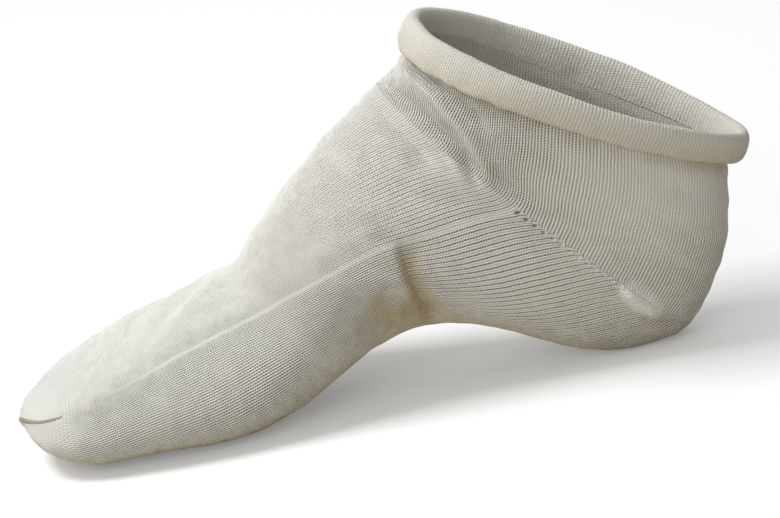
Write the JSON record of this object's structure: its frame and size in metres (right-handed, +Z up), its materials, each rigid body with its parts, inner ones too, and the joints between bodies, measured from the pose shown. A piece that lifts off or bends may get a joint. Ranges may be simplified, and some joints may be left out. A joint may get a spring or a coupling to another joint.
{
  "type": "low-cut sock",
  "caption": "Knitted low-cut sock in its worn shape, with a rolled welt, turned heel pocket, mesh-knit foot and linked toe, hollow so a foot goes in.",
  "frame": {"origin": "middle of the outline seen from above, at the level the sole rests on", "axes": "+X towards the heel, -X towards the toe, -Y towards the inner (big toe) side of the foot, +Z up"},
  "size_m": [0.2718, 0.0936, 0.1329],
  "materials": {
    "knit": "matt cream cotton knit",
    "welt_knit": "matt cream plain knit, rolled",
    "elastic": "covered elastic thread",
    "seam_thread": "linked seam thread"
  },
  "bodies": {
    "root": {"rolled_welt": "welt_knit", "welt_elastic": "elastic", "leg_rounds": "knit", "heel_pocket_upper": "knit", "heel_pocket_lower": "knit", "heel_gore_inner": "knit", "heel_gore_outer": "knit", "instep": "knit", "sole": "knit", "side_wale_inner": "knit", "side_wale_outer": "knit", "toe_upper": "knit", "toe_lower": "knit", "toe_seam": "seam_thread"}
  },
  "joints": []
}
